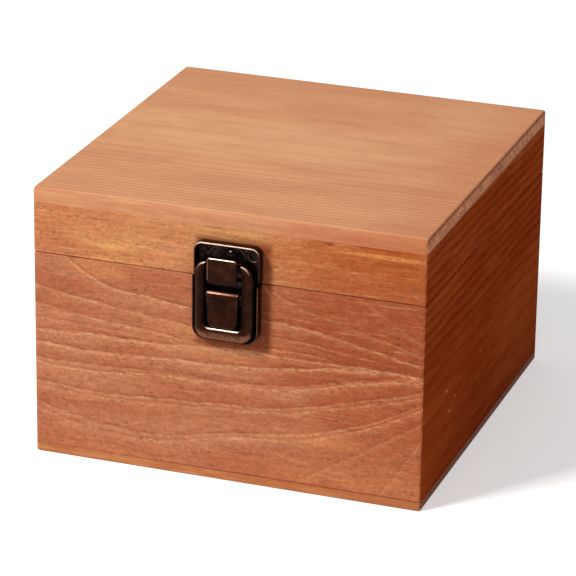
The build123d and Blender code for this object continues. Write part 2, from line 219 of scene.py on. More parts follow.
# the front board's grain: heights of each line at seven places across the board, and how strongly it shows
frontGrain = dict(
    places=(-86, -58, -30, 0, 28, 56, 86), lineReach=5.0, slow=1.6, quick=1.4, shiver=0.6,
    lines=[
        ((134, 132, 130, 126, 116, 93, 73.8), 0.3), ((128, 124, 116, 101, 84.5, 77, 69), 0.4),
        ((108, 82.3, 77.5, 74.5, 74.8, 70.2, 64.3), 0.9), ((76.8, 72.6, 69.5, 67, 68.3, 65.2, 60.8), 0.7),
        ((68.7, 65.2, 62.4, 60.2, 63.6, 60.6, 60.1), 0.75), ((62.5, 61, 60.2, 60.2, 66, 62.6, 60.4), 0.35),
        ((56.5, 57.6, 57.6, 59.9, 60.3, 60.2, 59.8), 1.0), ((50.8, 50.3, 51.4, 52.7, 55.3, 59.4, 60), 0.95),
        ((44, 43.6, 44.9, 45.2, 47.4, 53.8, 60), 0.85), ((42.2, 40.9, 43.7, 44, 46, 52.6, 59.4), 0.6),
        ((33, 31.4, 32.8, 34.8, 37.2, 44.4, 53.5), 0.9), ((31, 29.4, 30.6, 33.2, 35.6, 42.6, 51.5), 0.4),
        ((24, 17.6, 16.4, 21.4, 25.6, 33.2, 48), 0.75), ((20.6, 14.6, 14, 19.8, 23.2, 31, 46.4), 0.5),
        ((-30, -26, -20, -10, 3, 20, 40), 0.35), ((-38, -36, -34, -32, -26, -8, 33), 0.4),
    ],
    # tone beside a line, from below it to above it: light just under it, dark just over it
    profile=((-5, 0), (-2.8, 0.16), (-1.3, 0.38), (-0.55, 0.95), (0, 0.8), (0.4, -0.75), (0.85, -1), (1.5, -0.5),
             (3, -0.2), (5, 0)),
)


def curveOf(tree, value, points, low, high, start, end):
    # a float curve through the points (value, result), its values from low to high and its results from start to end
    node = addNode(tree, "FloatCurve")
    curve = node.mapping.curves[0]
    scaled = [((x - low) / (high - low), (y - start) / (end - start)) for x, y in points]
    curve.points[0].location = scaled[0]
    curve.points[-1].location = scaled[-1]
    for place in scaled[1:-1]:
        curve.points.new(*place)
    node.mapping.update()
    plug(tree, (value - low) / (high - low), node.inputs["Value"])
    return Wire(tree, node.outputs[0]) * (end - start) + start


def frontTone(tree, along, height):
    # the sum over the lines of strength times profile(height above the line)
    grain = frontGrain
    reach = grain["lineReach"]
    tone = None
    for heights, strength in grain["lines"]:
        level = curveOf(tree, along, list(zip(grain["places"], heights)), -86.0, 86.0, -40.0, 140.0)
        above = (height - level).least(reach).most(-reach)
        share = curveOf(tree, above, grain["profile"], -reach, reach, -1.0, 1.0) * strength
        tone = share if tone is None else tone + share
    return tone.least(1.0).most(-1.0)


def straightTone(across, wander, spacing, evenReach, spread, width):
    # near parallel lines, even at first; past evenReach each gap is wider: line = spread * ln(1 + beyond / spread)
    run = (across + wander).most(0.5)
    beyond = (run - evenReach).most(0.0) / spread + 1.0
    phase = (run.least(evenReach) + beyond.math("LOGARITHM", math.e) * spread) / spacing
    distance = ((phase + 0.5).part() - 0.5) * beyond * spacing
    pale = (distance + width * 0.8).size().ramp(0.0, beyond * width, 1.0, 0.0)
    dark = (distance - width * 0.5).size().ramp(0.0, beyond * width * 1.3, 1.0, 0.0)
    faint = (run - evenReach).ramp(0.0, 25.0, 1.0, 0.5)
    return (pale - dark) * faint


def outerArris(place, low, high):
    # how far a face's point is from the nearest edge of a box: the second smallest of its three distances
    a, b, c = [(value - start).least(end - value).most(0.0) for value, start, end in zip(place, low, high)]
    return a.least(b).most(a.most(b).least(c))


panelLow, panelHigh = [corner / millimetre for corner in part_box("top_panel")]
arrisLow = (panelLow.x, panelLow.y, -50.0)
arrisHigh = tuple(panelHigh)
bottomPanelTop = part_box("bottom_panel")[1].z / millimetre
# painted light on the wood at the latch: the first colour is painted shade in the gaps between its plates, the last a
# painted cast shadow
latchShade = dict(
    colour=rgb(30, 14, 9), halfLength=14.9, halfHeight=2.4, innerLength=9.0, innerHeight=7.0, aside=2.4, middle=84.6,
    reach=22.4, fade=3.4, grimeAndShadow=rgb(112, 44, 18), shadowAmount=0.7)


def woodMaterial(name, board, cutName, look):
    material, tree, shader = newMaterial(name)
    place = [value / millimetre for value in coordinates(tree, "Object")]
    *axes, seed = cuts[cutName]
    along, across, through = (place[axis] for axis in axes)

    slow = noiseAt(tree, along / 42.0 + seed, across / 18.0, through / 40.0, 1.0) - 0.5
    quick = noiseAt(tree, along / 9.0 + seed, across / 6.0, through / 9.0, 2.0) - 0.5
    wander = slow * 5.0 + quick * 1.2
    if cutName == "front":
        shiver = noiseAt(tree, along / 2.8, across / 1.6 + seed, through / 4.0, 2.0) - 0.5
        wander = slow * frontGrain["slow"] + quick * frontGrain["quick"] + shiver * frontGrain["shiver"]
        tone = frontTone(tree, along, across + wander)
    elif cutName == "top":
        tone = straightTone(across + 89.0 - along * 0.008, wander * 0.4, 3.15, 40.0, 16.0, 0.75)
    elif cutName in ("side", "left"):
        tone = straightTone(122.0 - across - along * 0.03, wander, 4.6, 50.0, 30.0, 1.4)
    elif cutName == "lidFront":
        tone = straightTone(across - 60.0, wander * 2.4, 7.0, 60.0, 30.0, 0.6)
    else:
        tone = straightTone(across + 4.0, slow * 22.0 + quick * 2.5 + through * 0.5, 6.0, 90.0, 60.0, 0.7)

    dash = noiseAt(tree, along / 3.2, across / 0.8 + seed, through / 0.8, 3.0, 0.65)
    patchy = noiseAt(tree, along / 24.0 + seed, across / 4.0, through / 6.0, 2.0, 0.6)
    shown = patchy.ramp(0.3, 0.6, 0.55, 1.0)
    pale = tone.most(0.0) * dash.ramp(0.38, 0.58, 0.15, 1.0) * shown
    dark = (tone * -1.0).most(0.0) * dash.ramp(0.3, 0.6, 0.5, 1.0) * shown

    broad = noiseAt(tree, along / 60.0 + seed, across / 15.0, through / 15.0 + seed, 2.0, 0.55)
    blotch = noiseAt(tree, along / 24.0, across / 9.0 + seed, through / 14.0, 4.0, 0.6)
    fibre = noiseAt(tree, along / 5.0, across / 1.0, through / 1.0 + seed, 3.0, 0.7)
    mottle = noiseAt(tree, along / 1.5, across / 1.1 + seed, through / 1.1, 2.0, 0.7)
    streak = noiseAt(tree, along / 20.0, across / 1.5 + seed, through / 1.5, 4.0, 0.6)
    poreField = noiseAt(tree, along / 2.0, across / 0.7 + seed, through / 0.7, 1.0, 0.5)
    pores = poreField.ramp(0.6, 0.7) * (patchy.ramp(look["poreStart"], look["poreStart"] + 0.12) + dark * 0.4 + 0.25)

    colour = broad.ramp(0.34, 0.68).mix(look["body"], look["bodyTwo"])
    for centre, level, halfLength, halfHeight, patchColour, amount in look["patches"]:
        reach = ((along - centre) / halfLength) ** 2.0 + ((across - level) / halfHeight) ** 2.0
        inside = (reach + blotch * 2.0 - 1.0).ramp(1.5, 0.0)
        colour = (inside * amount).mix(colour, rgb(*patchColour))
    colour = (streak.ramp(0.5, 0.78) * look["streak"]).mix(colour, look["late"])
    colour = (streak.ramp(0.46, 0.24) * look["streak"]).mix(colour, look["light"])
    colour = (dark * look["dark"]).mix(colour, look["late"])
    colour = (pale * look["pale"]).mix(colour, look["light"])
    colour = (pores.least(1.0) * look["pores"]).mix(colour, look["pore"])
    rough = 0.62 + streak * 0.14 + pores * 0.15
    relief = fibre * 0.5 + mottle * 0.4 + streak * 0.3 - pores * 1.2

    # the side boards' inner faces go to a lighter stain, without the right outer face's painted shade
    if "inside" in look:
        inward = (panelHigh.x - through.size()).ramp(1.5, 3.0)
        colour = (inward * 0.7).mix(colour, look["inside"])
    if board in panelEdges:
        colour = panelEdgeColour(tree, colour, place, cuts[cutName], panelEdges[board], streak, patchy)
    elif cutName in ("front", "side", "left"):  # a thin shade where the walls stand on the bottom panel
        joint = (across - bottomPanelTop - 0.4).size().ramp(0.15, 0.6, 1.0, 0.0)
        colour = (joint * along.ramp(-60.0, 10.0, 0.25, 0.75)).mix(colour, look["late"])
    if cutName in ("front", "lidFront"):
        colour = latchMarks(colour, along - latchMiddle / millimetre, across, through - frontFace / millimetre)
    scaled = addNode(tree, "VectorMath", colour, operation="SCALE")
    plug(tree, (fibre - 0.5) * look["fibre"] + (mottle - 0.5) * look["mottle"] + 1.0, scaled.inputs["Scale"])
    colour = scaled.outputs[0]
    # edges lighter: partly sanded, partly a painted highlight along the arrises
    arris = outerArris(place, arrisLow, arrisHigh)
    chipped = noiseAt(tree, place[0] / 1.2, place[1] / 1.2, place[2] / 1.6, 3.0, 0.6)
    rubbedAndLit = (arris + chipped * 1.6).ramp(0.75, 1.35, 1.0, 0.0)
    colour = (rubbedAndLit * 0.8).mix(colour, look["light"])

    tree.links.new(colour, shader.inputs["Base Color"])
    plug(tree, rough.least(0.9), shader.inputs["Roughness"])
    addBump(tree, shader, relief, 0.1, look["bump"])
    shader.inputs["Specular IOR Level"].default_value = look["gloss"]
    return material


def panelEdgeColour(tree, colour, place, cut, look, streak, patchy):
    # the sawn ends: pale, the rings as slanted strokes through the thickness, a stained upper arris, a few cracks;
    # the long edges: streaks of two stains
    *axes, seed = cut
    along, across, through = (place[axis] for axis in axes)
    normal = coordinates(tree, "Normal")
    endwise, edgewise = normal[axes[0]].size().ramp(0.5, 0.75), normal[axes[1]].size().ramp(0.4, 0.7)
    edge = (streak * 0.7 + patchy * 0.3).ramp(0.4, 0.56).mix(look["edge"], look["edgeTwo"])
    # darker and redder to the right: stain, and painted fall-off of the light
    edge = ((along + patchy * 30.0).ramp(10.0, 100.0) * 0.8).mix(edge, look["edgeRight"])
    colour = edgewise.mix(colour, edge)
    strokes = noiseAt(tree, across / 1.5 + through * 0.5, through / 6.0, seed, 3.0, 0.6)
    specks = noiseAt(tree, across / 0.9, through / 0.7, seed + 2.0, 2.0, 0.6)
    broad = noiseAt(tree, across / 22.0, through / 9.0, seed + 5.0, 2.0, 0.5)
    crackField = noiseAt(tree, across / 14.0 + through * 0.12, through / 11.0, seed + 7.0, 1.0) - 0.5
    crack = crackField.size().ramp(0.004, 0.012, 1.0, 0.0) * look["cracks"]
    end = (strokes.ramp(0.4, 0.62) * 0.6).mix(look["end"], look["endDark"])
    end = (specks.ramp(0.5, 0.75) * 0.4).mix(end, look["endDark"])
    end = (broad.ramp(0.45, 0.7) * 0.5).mix(end, look["stain"])
    end = crack.mix(end, look["endDark"])
    depth = boxHeight / millimetre - through
    rim = (depth + (strokes + broad) * 1.2).ramp(look["stainDepth"] + 0.6, look["stainDepth"] + 1.4, 1.0, 0.0)
    end = (rim * 0.85).mix(end, look["stain"])
    # painted shade along the foot of the sawn end
    foot = (through - panelLow.z + strokes).ramp(look["foot"] + 0.2, look["foot"] + 0.9, 1.0, 0.0)
    end = (foot * 0.5).mix(end, look["endDark"])
    return endwise.mix(colour, end)


def latchMarks(colour, aside, across, depth):
    # on the outside, a painted cast shadow in a soft oblong round the latch, shifted right and down, and over it the
    # painted shade seen through the gaps between the plates, one long and low box and one short and high
    mark = latchShade
    away = (across - seamHeight / millimetre).size()
    slit = aside.size().ramp(mark["halfLength"], mark["halfLength"] - 0.3) * away.ramp(mark["halfHeight"], 1.8)
    inner = aside.size().ramp(mark["innerLength"], mark["innerLength"] - 1.0) * away.ramp(mark["innerHeight"], 6.0)
    sideways = (aside - mark["aside"]).size() - mark["halfLength"]
    # painted cast shadow of the latch: the oblong sits to the right of and below it
    paintedShadow = sideways.most((across - mark["middle"]).size() - mark["reach"]).ramp(-0.5, mark["fade"], 1.0, 0.0)
    outside = depth.ramp(1.2, 1.8, 1.0, 0.0)
    colour = (paintedShadow * outside * mark["shadowAmount"]).mix(colour, mark["grimeAndShadow"])
    return (slit.most(inner) * outside).mix(colour, mark["colour"])


def dressNode(name, material):
    mesh = nodes[name].data
    mesh.materials.clear()
    mesh.materials.append(material)


for boardName, cutName in boardCuts.items():
    dressNode(boardName, woodMaterial("wood_" + boardName, boardName, cutName, woodLooks[cutName]))
print("wood stained:", len(boardCuts), "boards")


# metal

# the rubbed colour also paints highlights, the whiter one is a painted highlight at the highest values, the darkest
# painted shade
bronze = dict(
    patina=(0.02, 0.0066, 0.0036, 1), brown=(0.036, 0.0125, 0.0065, 1), shade=(0.009, 0.0034, 0.002, 1),
    deep=(0.03, 0.0185, 0.0155, 1), wornAndLit=(0.42, 0.175, 0.095, 1), bright=(0.72, 0.52, 0.42, 1),
    roughness=0.28, wornRoughness=0.24, cloudStart=0.42)
fixing = dict(
    patina=(0.014, 0.009, 0.008, 1), brown=(0.035, 0.02, 0.015, 1), shade=(0.008, 0.006, 0.006, 1),
    deep=(0.008, 0.006, 0.006, 1), wornAndLit=(0.6, 0.48, 0.4, 1), bright=(0.7, 0.6, 0.52, 1),
    roughness=0.3, wornRoughness=0.2, cloudStart=0.45)


def bronzeMaterial(name, finish, box=None):
    # dark patina, browner in clouds; the piece's own value, or nearness to its box's edges, rubs it bright, and on the
    # pieces the value also paints highlights; below zero it is painted shade, mostly in hollows, down to the greyer
    # floors at -1
    material, tree, shader = newMaterial(name)
    place = [value / millimetre for value in coordinates(tree, "Object")]
    x, y, z = place
    cloud = noiseAt(tree, x / 5.0, y / 5.0, z / 5.0, 3.0, 0.6)
    grimeAndShadow = noiseAt(tree, x / 1.1, y / 1.1, z / 1.1, 3.0, 0.65)
    fine = noiseAt(tree, x / 0.3, y / 0.3, z / 0.3, 2.0, 0.6)
    if box:
        low, high = (tuple(corner / millimetre) for corner in box)
        wearAndLighting = outerArris(place, low, high).ramp(0.1, 0.45, 0.8, 0.0)
    else:
        wearAndLighting = Wire(tree, addNode(tree, "Attribute", attribute_name="wearAndLighting").outputs["Fac"])
    rubbedAndLit = (wearAndLighting * (grimeAndShadow * 0.9 + fine * 0.5 + 0.35)).ramp(0.3, 1.0)
    colour = cloud.ramp(finish["cloudStart"], finish["cloudStart"] + 0.24).mix(finish["patina"], finish["brown"])
    colour = ((grimeAndShadow * 0.6 + fine * 0.4).ramp(0.6, 0.75) * 0.1).mix(colour, finish["wornAndLit"])
    # painted shade where the value is below zero
    colour = (wearAndLighting * -1.0).ramp(0.0, 0.7, smooth=False).mix(colour, finish["shade"])
    colour = (wearAndLighting * -1.0).ramp(0.8, 1.0).mix(colour, finish["deep"])
    # rubbed bronze, and painted highlight where the value runs high, whitest at the top
    colour = (rubbedAndLit * 0.85).mix(colour, finish["wornAndLit"])
    colour = (wearAndLighting.ramp(0.6, 1.0) * rubbedAndLit).mix(colour, finish["bright"])
    tree.links.new(colour, shader.inputs["Base Color"])
    shader.inputs["Metallic"].default_value = 1.0
    spread = rubbedAndLit * (finish["wornRoughness"] - finish["roughness"]) + finish["roughness"]
    plug(tree, spread + grimeAndShadow * 0.12 + fine * 0.05, shader.inputs["Roughness"])
    addBump(tree, shader, grimeAndShadow + fine * 0.4, 0.05, 0.25)
    return material


finishes = {"antique_bronze": bronze, "fixing_metal": fixing}
pieceMetals = {slotName: bronzeMaterial(slotName, finish) for slotName, finish in finishes.items()}
metalNodes = [name for name in nodes if name not in boardCuts]
for nodeName in metalNodes:
    finish = fixing if nodeName.endswith(("_pin", "_screws", "_tack")) else bronze
    dressNode(nodeName, bronzeMaterial("metal_" + nodeName, finish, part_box(nodeName)))
print("metal finished:", len(metalNodes), "nodes")


# surfaces: a shell holds its points, the corners of its faces and each point's rubbing and painted light (shade below
# zero)

def gridFaces(rows, columns, wrap):
    # each face joins a point to its neighbours in the next row and the next column
    row = np.arange(rows - 1)[:, None]
    column = np.arange(columns if wrap else columns - 1)[None, :]
    following = (column + 1) % columns
    corners = (row * columns + column, row * columns + following,
               (row + 1) * columns + following, (row + 1) * columns + column)
    return np.stack(np.broadcast_arrays(*corners), -1).reshape(-1, 4).tolist()


def tube(points, wearAndLighting):
    # rows of closed loops joined one to the next, with one flat face over each end
    rows, columns = points.shape[:2]
    faces = gridFaces(rows, columns, True)
    faces.append(list(range(columns)))
    faces.append(list(range((rows - 1) * columns, rows * columns)))
    return {"points": points.reshape(-1, 3), "faces": faces, "wearAndLighting": np.broadcast_to(wearAndLighting, (rows, columns)).ravel()}


def roundedOutline(halfWidth, low, high, lowRound, highRound, cornerSteps=9, sideSteps=8):
    # four quarter circles joined by straight sides, anticlockwise from the lower right
    corners = ((1, low + lowRound, lowRound, -90), (1, high - highRound, highRound, 0),
               (-1, high - highRound, highRound, 90), (-1, low + lowRound, lowRound, 180))
    arcs = []
    for side, up, radius, start in corners:
        turn = np.radians(start + np.linspace(0, 90, cornerSteps))
        arcs.append(np.stack((side * (halfWidth - radius) + radius * np.cos(turn), up + radius * np.sin(turn)), -1))
    share = np.linspace(0, 1, sideSteps + 2)[1:-1, None]
    sides = [arc[-1] + (following[0] - arc[-1]) * share for arc, following in zip(arcs, arcs[1:] + arcs[:1])]
    return np.concatenate([line for pair in zip(arcs, sides) for line in pair])


def facingUp(outline):
    # from the line's own direction: 1 where an anticlockwise outline faces up, -1 where it faces down
    step = np.roll(outline, -1, 0) - np.roll(outline, 1, 0)
    return -step[:, 0] / np.maximum(np.hypot(*step.T), 1e-9)


def stack(outlineAt, levels, evenWear=0.2, leftHighlight=0.0):
    # outlineAt(inset) drawn at each level's height; a level is inset, height and value; edges that face up get most of
    # it, and edges on the left can get it too, both as painted highlight
    outlines = [outlineAt(inset) for inset, _, _ in levels]
    loops = np.stack([np.column_stack((outline, np.full(len(outline), height)))
                      for outline, (_, height, _) in zip(outlines, levels)])
    up = facingUp(outlines[0])
    left = np.sqrt(1 - np.clip(up, -1, 1) ** 2) * (outlines[0][:, 0] < 0)
    share = np.maximum(evenWear + (1 - evenWear) * np.clip(up, 0, 1), leftHighlight * left)
    return tube(loops, np.array([[wearAndLighting] for _, _, wearAndLighting in levels]) * share[None, :])


def roundedEdge(radius, height, wearAndLighting=1.0, steps=7):
    # a quarter circle from the side up to the face: inset = r (1 - cos a), height = top - r (1 - sin a)
    return [(radius * (1 - math.cos(a)), height - radius * (1 - math.sin(a)), math.sin(2 * a) ** 2 * wearAndLighting)
            for a in np.linspace(0, math.pi / 2, steps)]


def barrel(low, high, radius, edge, centre, wearAndLighting=0.0, sides=40):
    # a round bar along u with softened ends, its axis through the centre (v, w)
    turn = np.linspace(0, math.pi / 2, 4)
    ends = [(low + edge * (1 - math.sin(a)), radius - edge * (1 - math.cos(a))) for a in turn[::-1]]
    profile = ends + [(low + high - along, size) for along, size in ends[::-1]]
    around = np.linspace(0, 2 * math.pi, sides, endpoint=False)
    v, w = centre
    loops = [np.column_stack((np.full(sides, along), v + size * np.cos(around), w + size * np.sin(around)))
             for along, size in profile]
    # the value falls on the side that faces the light, as painted highlight
    return tube(np.stack(loops), wearAndLighting * np.clip(np.cos(around - 0.5), 0, 1)[None, :] ** 3)


def turned(shell):  # drawn as across, up, height: stood so that its height runs along u
    shell["points"] = shell["points"][:, [2, 0, 1]]
    return shell


def frontPoints(points):  # u right of the latch's middle, v up from the seam, w out of the wood
    return np.column_stack((latchMiddle + points[:, 0] * millimetre, frontFace - points[:, 2] * millimetre,
                            seamHeight + points[:, 1] * millimetre))


def latchPlace(name):  # the same three for a node of the frame: its low and its high corner
    low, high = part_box(name)
    return [((x - latchMiddle) / millimetre, (z - seamHeight) / millimetre, (frontFace - y) / millimetre)
            for x, y, z in ((low.x, high.y, low.z), (high.x, low.y, high.z))]


sharpAngle = math.radians(50)  # edges sharper than this are drawn crisp


def makePiece(name, body, slotName, shells, replaced=(), placed=frontPoints):
    # the shells joined in one mesh and put in place, with their rubbing and painted light as an attribute
    points = placed(np.concatenate([shell["points"] for shell in shells]))
    starts = np.cumsum([0] + [len(shell["points"]) for shell in shells])
    faces = [[start + corner for corner in face] for start, shell in zip(starts, shells) for face in shell["faces"]]
    mesh = bpy.data.meshes.new(name)
    mesh.from_pydata(points.tolist(), [], faces)
    wornAndLit = mesh.attributes.new("wearAndLighting", "FLOAT", "POINT")
    wornAndLit.data.foreach_set("value", np.concatenate([shell["wearAndLighting"] for shell in shells]).astype(np.float32))
    work = bmesh.new()
    work.from_mesh(mesh)
    bmesh.ops.recalc_face_normals(work, faces=work.faces)
    work.to_mesh(mesh)
    work.free()
    mesh.shade_smooth()
    mesh.set_sharp_from_angle(angle=sharpAngle)
    mesh.materials.append(pieceMetals[slotName])
    piece = addObject(name, mesh)
    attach(piece, body)
    if replaced:
        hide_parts(*replaced)


# the latch's two pressed plates; a tray is its middle, half width, open end, closed end and corner rounding

plate = dict(
    sheet=0.7, wall=4.8, bend=1.1, inside=0.8, under=0.02, floorReach=2.6, floorInset=0.95, ledge=0.25, grid=0.2,
    stretchReach=6.0, rimWear=0.42, wallShade=-0.35, dimpleReach=3.1, dimpleLip=0.12, dimpleDepth=0.32)


def trayWall(middle, halfWidth, openEnd, closedEnd, cornerRound, topHighlight, rightHighlight, leftMore=0.0):
    # a section (inward, height) carried along a U: up one side, round two quarter circles and down the other;
    # point = path - inward * normal, and the left side's open end is stretched by leftMore
    reach = abs(closedEnd - openEnd)
    straight = np.linspace(0, reach - cornerRound, 8)[:-1]
    turn = np.linspace(0, math.pi / 2, 12)
    top = np.linspace(-1, 1, 10)[1:-1] * (halfWidth - cornerRound)
    level = np.zeros_like(straight)
    left = np.column_stack((level - halfWidth, straight, level - 1, level))
    normal = np.column_stack((-np.cos(turn), np.sin(turn)))
    corner = np.hstack(((cornerRound - halfWidth, reach - cornerRound) + cornerRound * normal, normal))
    across = np.column_stack((top, np.full_like(top, reach), np.zeros_like(top), np.ones_like(top)))
    half = np.concatenate((left, corner))
    path = np.concatenate((half, across, half[::-1] * (-1, 1, -1, 1)))

    wall, sheet, bend, inside = plate["wall"], plate["sheet"], plate["bend"], plate["inside"]
    around = np.linspace(0, math.pi / 2, 6)
    rim = np.linspace(0, math.pi, 9)
    lip = sheet / 2
    section = [(plate["floorReach"], plate["under"], 0.0)]
    section += [(bend - bend * math.sin(a), plate["under"] + bend - bend * math.cos(a), 0.0) for a in around]
    section += [(lip - lip * math.cos(a), wall - lip + lip * math.sin(a), math.sin(a)) for a in rim]
    section += [(sheet + inside - inside * math.cos(a), sheet + inside - inside * math.sin(a), -1.0) for a in around]
    section += [(sheet + inside + 0.06, plate["ledge"], -1.0), (plate["floorReach"], plate["ledge"], -1.0)]
    section = np.array(section)
    flat = path[:, None, :2] - path[:, None, 2:] * section[None, :, :1]
    direction = math.copysign(1, closedEnd - openEnd)
    stretch = leftMore * (flat[..., 0] < 0) * np.clip(1 - flat[..., 1] / plate["stretchReach"], 0, 1)
    up = openEnd + direction * (flat[..., 1] - stretch)
    points = np.stack((middle + flat[..., 0], up, np.broadcast_to(section[:, 1], up.shape)), -1)
    # rubbing along the rim, plus painted highlight along its top and right; the inner walls get painted shade
    share = plate["rimWear"] + topHighlight * np.clip(direction * path[:, 3], 0, 1) + rightHighlight * np.clip(path[:, 2], 0, 1)
    return tube(points, np.maximum(section[None, :, 2] * share[:, None], plate["wallShade"]))


def trayFloor(middle, halfWidth, openEnd, closedEnd, cornerRound, relief):
    # rows across the plate that narrow into its two rounded corners, each point at height relief(u, v)
    inset = plate["floorInset"]
    reach = abs(closedEnd - openEnd) - inset
    radius = cornerRound - inset
    rows = np.linspace(0.0, reach, round(reach / plate["grid"]))
    columns = np.linspace(-1, 1, round(2 * halfWidth / plate["grid"]))
    into = np.clip(rows - (reach - radius), 0, radius * 0.999)
    width = halfWidth - inset - radius + np.sqrt(radius ** 2 - into ** 2)
    u = middle + columns[None, :] * width[:, None]
    v = openEnd + math.copysign(1, closedEnd - openEnd) * np.broadcast_to(rows[:, None], u.shape)
    points = np.stack((u, v, relief(u, v)), -1)
    count = points.shape[0] * points.shape[1]
    index = np.arange(count).reshape(points.shape[:2])
    border = np.concatenate((index[0, :-1], index[:-1, -1], index[-1, :0:-1], index[:0:-1, 0]))
    skirt = points.reshape(-1, 3)[border].copy()
    skirt[:, 2] = plate["under"]
    under = count + np.arange(len(border))
    faces = gridFaces(*points.shape[:2], False)
    faces += np.column_stack((border, under, np.roll(under, -1), np.roll(border, -1))).tolist()
    faces.append(under.tolist())
    everything = np.concatenate((points.reshape(-1, 3), skirt))
    return {"points": everything, "faces": faces, "wearAndLighting": np.full(len(everything), -1.0)}


def soft(distance, inner, outer):  # 1 inside, 0 outside, an even slope between
    share = np.clip((outer - distance) / (outer - inner), 0, 1)
    return share * share * (3 - 2 * share)


def screwDimples(u, v, spread, height):
    # sheet + raised ring - dish round each screw, both by the distance from its middle
    low = np.full_like(u, plate["sheet"])
    for side in (-1, 1):
        away = np.hypot(u - side * spread / 2, v - height)
        low += plate["dimpleLip"] * soft(np.abs(away - plate["dimpleReach"]), 0.0, 0.5)
        low -= plate["dimpleDepth"] * soft(away, plate["dimpleReach"] - 0.8, plate["dimpleReach"] - 0.1)
    return low


# strike plate with its hook, on the lid

strikeFrom, strikeTo = latchPlace("strike_plate")
# the top rim of the strike plate gets a painted highlight
strike = dict(
    tray=((strikeFrom[0] + strikeTo[0]) / 2 + 0.35, (strikeTo[0] - strikeFrom[0]) / 2 - 0.35, 2.0, strikeTo[1], 3.6),
    topRimHighlight=0.6, screwSpread=22.4, screwHeight=12.2, holeSide=-1.0, holeDepth=0.62, tackSide=1.3, tackHeight=12.6,
    tackDish=0.18, foldAside=2.6, foldHeight=8.8, folds=((6.9, 0.34), (5.3, 0.22)), swell=0.22, billHalf=6.6,
    billLow=strikeFrom[1] + 1.0, billHigh=11.6, billBack=strikeTo[2] - 1.3, billOut=strikeTo[2], billCorner=1.5,
    # the hook's edges: some rubbing all round, and a painted highlight down its left edge
    billEdge=0.8, billWearAndHighlight=(0.2, 0.9), webHalf=5.6, webTop=7.3)


def strikeRelief(u, v):
    # dimples - spare hole - dish round the tack + folds, which are arcs of circles, + a swell under the hook
    height = screwDimples(u, v, strike["screwSpread"], strike["screwHeight"])
    above = v - strike["tackHeight"]
    height -= strike["holeDepth"] * soft(np.hypot((u - strike["holeSide"]) / 1.5, above + 0.1), 0.42, 0.75)
    height -= strike["tackDish"] * soft(np.hypot(u - strike["tackSide"], above), 1.2, 2.0)
    for radius, lift in strike["folds"]:
        away = np.hypot(np.abs(u) - strike["foldAside"], v - strike["foldHeight"])
        shown = soft(4.5 - np.abs(u), -1.5, 0.0) * soft(9.5 - v, -1.0, 0.5)
        height += lift * soft(np.abs(away - radius), 0.05, 0.6) * shown
    return height + strike["swell"] * soft(np.hypot(u / 1.35, v - 5.0), 3.0, 7.2)


def billOutline(inset):  # the hook's front plate, a rounded oblong
    corner = max(strike["billCorner"] - inset, 0.3)
    low, high = strike["billLow"] + inset, strike["billHigh"] - inset
    return roundedOutline(strike["billHalf"] - inset, low, high, corner, corner)


billLevels = [(0.2, strike["billBack"], 0.0), (0.0, strike["billBack"] + 0.15, 0.1)]
billLevels += roundedEdge(strike["billEdge"], strike["billOut"] - 0.02)
billLevels += [(2.2, strike["billOut"] - 0.04, 0.0), (4.2, strike["billOut"] - 0.06, 0.0)]


def webOutline(inset):  # the strip of sheet that carries it
    low, high = strike["webTop"] - plate["sheet"] + inset, strike["webTop"] - inset
    return roundedOutline(strike["webHalf"] - inset, low, high, 0.15, 0.15, 4, 3)


webLevels = [(0.0, 0.2, 0.0), (0.0, strike["billBack"] + 0.3, 0.0)]
strikeShells = [trayWall(*strike["tray"], strike["topRimHighlight"], 0.0), trayFloor(*strike["tray"], strikeRelief)]
hookShells = [stack(billOutline, billLevels, *strike["billWearAndHighlight"]), stack(webOutline, webLevels)]
makePiece("strike_plate_pressed", "lid", "antique_bronze", strikeShells, ["strike_plate"])
makePiece("strike_hook_bent", "lid", "antique_bronze", hookShells)
print("strike plate pressed")


# base plate with its two ears, on the case

baseFrom, baseTo = latchPlace("latch_base_plate")
# the right rim of the base plate gets a faint painted highlight
base = dict(
    tray=(0.3, baseTo[0] - 0.3, baseTo[1] + 0.8, baseFrom[1] + 0.8, 5.8), leftMore=1.9, rightRimHighlight=0.1, screwSpread=9.0,
    screwHeight=-15.0, earInner=7.15, earRadius=1.6, earEdge=0.12, windowAside=4.85, axisHeight=-5.3, axisOut=4.6)


def baseRelief(u, v):
    # dimples - the two openings that the ears are bent up from
    height = screwDimples(u, v, base["screwSpread"], base["screwHeight"])
    aside, away = np.abs(np.abs(u) - base["windowAside"]), np.abs(v - base["axisHeight"])
    return height - (plate["sheet"] - plate["under"] - 0.02) * soft(aside, 2.2, 2.4) * soft(away, 1.5, 1.75)


def earOutline(inset):  # up from the plate to a half circle round the pin
    radius = base["earRadius"] - inset
    outline = roundedOutline(radius, 0.3, base["axisOut"] + radius, 0.1, radius * 0.96)
    return outline + (base["axisHeight"], 0.0)


def earLevels(low):  # one sheet thick, its edges cut off
    high, edge = low + plate["sheet"], base["earEdge"]
    return [(edge, low, -1.0), (0.0, low + edge, -1.0), (0.0, high - edge, -1.0), (edge, high, -1.0)]


baseShells = [trayWall(*base["tray"], 0.0, base["rightRimHighlight"], base["leftMore"]), trayFloor(*base["tray"], baseRelief)]
for low in (base["earInner"], -base["earInner"] - plate["sheet"]):
    baseShells.append(turned(stack(earOutline, earLevels(low))))
makePiece("base_plate_pressed", "case", "antique_bronze", baseShells, ["latch_base_plate"])
print("base plate pressed")


# the ring

ringFrom, ringTo = latchPlace("latch_ring")
